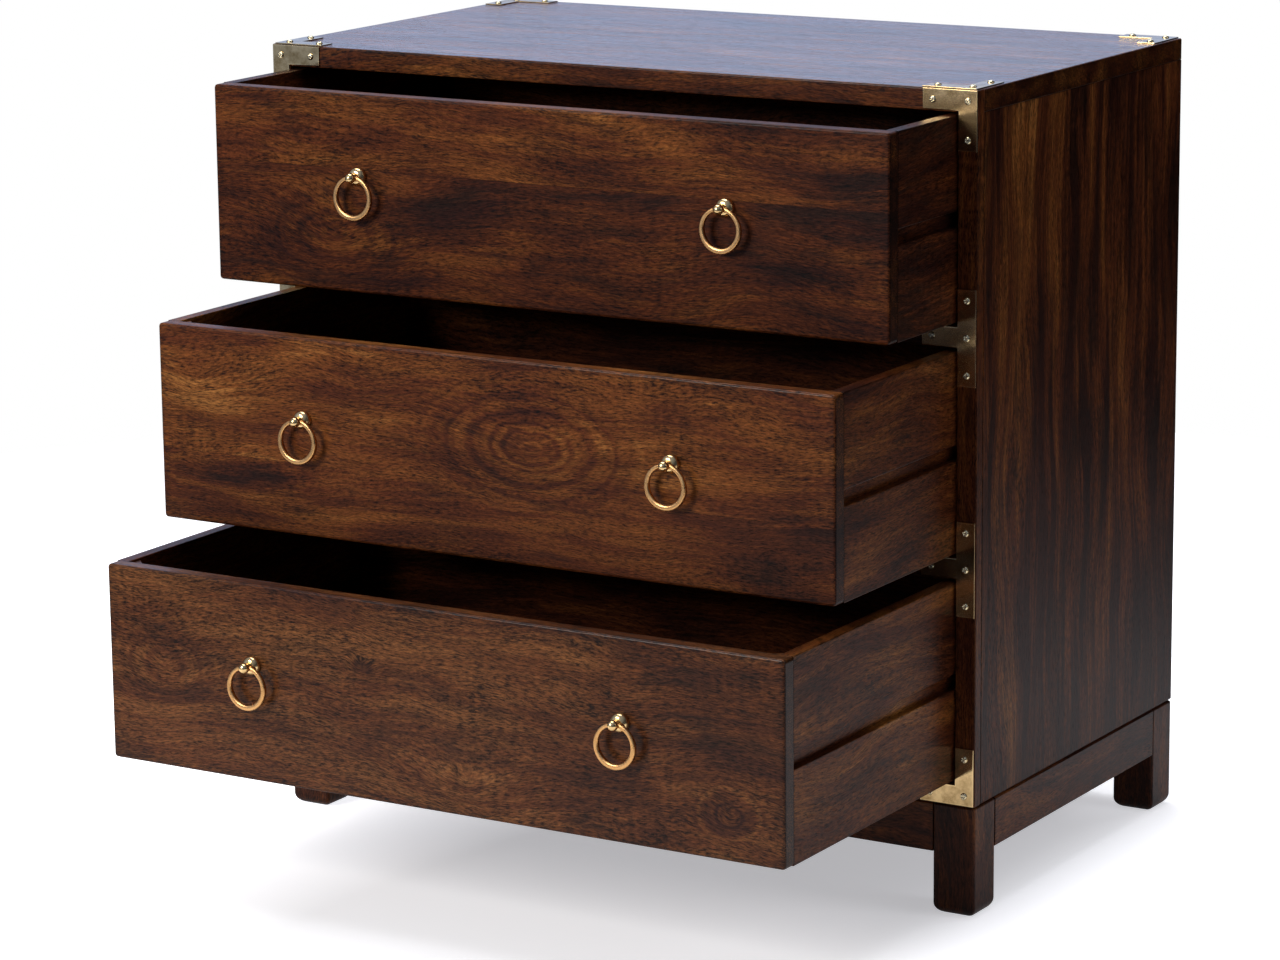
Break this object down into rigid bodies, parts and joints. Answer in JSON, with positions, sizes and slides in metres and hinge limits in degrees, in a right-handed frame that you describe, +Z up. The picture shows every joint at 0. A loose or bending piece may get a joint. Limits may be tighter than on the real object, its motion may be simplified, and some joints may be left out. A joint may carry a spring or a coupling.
{
  "type": "campaign chest of drawers",
  "caption": "Low wooden campaign chest on square legs, with deep drawers on wooden runners, brass angle and tee plates, and ring pulls.",
  "frame": {"origin": "on the floor, under the middle of the whole chest with its drawers open as they stand at rest", "axes": "+Z up, -Y out of the drawer fronts towards the room, +X to the chest's right seen from the front"},
  "size_m": [0.9, 0.8942, 0.9036],
  "materials": {
    "walnut_wood": "satin lacquered hardwood stained dark walnut, strong grain",
    "drawer_box_wood": "matt dark-stained hardwood",
    "aged_brass": "brushed and aged sheet brass",
    "polished_brass": "polished turned brass"
  },
  "bodies": {
    "carcass": {"top_board": "walnut_wood", "bottom_board": "walnut_wood", "left_side_panel": "walnut_wood", "right_side_panel": "walnut_wood", "back_panel": "walnut_wood", "left_stile": "walnut_wood", "right_stile": "walnut_wood", "upper_divider": "walnut_wood", "lower_divider": "walnut_wood", "top_left_runner": "walnut_wood", "top_right_runner": "walnut_wood", "middle_left_runner": "walnut_wood", "middle_right_runner": "walnut_wood", "bottom_left_runner": "walnut_wood", "bottom_right_runner": "walnut_wood", "front_left_leg": "walnut_wood", "front_right_leg": "walnut_wood", "back_left_leg": "walnut_wood", "back_right_leg": "walnut_wood", "front_base_rail": "walnut_wood", "back_base_rail": "walnut_wood", "left_base_rail": "walnut_wood", "right_base_rail": "walnut_wood", "front_left_corner_plate": "aged_brass", "front_right_corner_plate": "aged_brass", "back_left_top_plate": "aged_brass", "back_right_top_plate": "aged_brass", "left_upper_tee_plate": "aged_brass", "left_lower_tee_plate": "aged_brass", "right_upper_tee_plate": "aged_brass", "right_lower_tee_plate": "aged_brass", "left_bottom_plate": "aged_brass", "right_bottom_plate": "aged_brass"},
    "top_drawer": {"top_drawer_front": "walnut_wood", "top_drawer_bottom": "drawer_box_wood", "top_drawer_back": "drawer_box_wood", "top_drawer_left_side": "drawer_box_wood", "top_drawer_right_side": "drawer_box_wood", "top_left_pull_post": "polished_brass", "top_right_pull_post": "polished_brass"},
    "middle_drawer": {"middle_drawer_front": "walnut_wood", "middle_drawer_bottom": "drawer_box_wood", "middle_drawer_back": "drawer_box_wood", "middle_drawer_left_side": "drawer_box_wood", "middle_drawer_right_side": "drawer_box_wood", "middle_left_pull_post": "polished_brass", "middle_right_pull_post": "polished_brass"},
    "bottom_drawer": {"bottom_drawer_front": "walnut_wood", "bottom_drawer_bottom": "drawer_box_wood", "bottom_drawer_back": "drawer_box_wood", "bottom_drawer_left_side": "drawer_box_wood", "bottom_drawer_right_side": "drawer_box_wood", "bottom_left_pull_post": "polished_brass", "bottom_right_pull_post": "polished_brass"},
    "top_left_pull_ring": {"top_left_pull_ring": "polished_brass"},
    "top_right_pull_ring": {"top_right_pull_ring": "polished_brass"},
    "middle_left_pull_ring": {"middle_left_pull_ring": "polished_brass"},
    "middle_right_pull_ring": {"middle_right_pull_ring": "polished_brass"},
    "bottom_left_pull_ring": {"bottom_left_pull_ring": "polished_brass"},
    "bottom_right_pull_ring": {"bottom_right_pull_ring": "polished_brass"}
  },
  "joints": [
    {"name": "top_drawer_slide", "type": "slide", "parent": "carcass", "child": "top_drawer", "axis": [0, -1, 0], "range_m": [-0.148, 0.252]},
    {"name": "middle_drawer_slide", "type": "slide", "parent": "carcass", "child": "middle_drawer", "axis": [0, -1, 0], "range_m": [-0.263, 0.137]},
    {"name": "bottom_drawer_slide", "type": "slide", "parent": "carcass", "child": "bottom_drawer", "axis": [0, -1, 0], "range_m": [-0.368, 0.032]},
    {"name": "top_left_ring_swing", "type": "hinge", "parent": "top_drawer", "child": "top_left_pull_ring", "pos_m": [-0.232, -0.21765, 0.7825], "axis": [-1, 0, 0], "range_deg": [-10, 190]},
    {"name": "top_right_ring_swing", "type": "hinge", "parent": "top_drawer", "child": "top_right_pull_ring", "pos_m": [0.232, -0.21765, 0.7825], "axis": [-1, 0, 0], "range_deg": [-10, 190]},
    {"name": "middle_left_ring_swing", "type": "hinge", "parent": "middle_drawer", "child": "middle_left_pull_ring", "pos_m": [-0.232, -0.33265, 0.53225], "axis": [-1, 0, 0], "range_deg": [-10, 190]},
    {"name": "middle_right_ring_swing", "type": "hinge", "parent": "middle_drawer", "child": "middle_right_pull_ring", "pos_m": [0.232, -0.33265, 0.53225], "axis": [-1, 0, 0], "range_deg": [-10, 190]},
    {"name": "bottom_left_ring_swing", "type": "hinge", "parent": "bottom_drawer", "child": "bottom_left_pull_ring", "pos_m": [-0.232, -0.43765, 0.282], "axis": [-1, 0, 0], "range_deg": [-10, 190]},
    {"name": "bottom_right_ring_swing", "type": "hinge", "parent": "bottom_drawer", "child": "bottom_right_pull_ring", "pos_m": [0.232, -0.43765, 0.282], "axis": [-1, 0, 0], "range_deg": [-10, 190]}
  ]
}
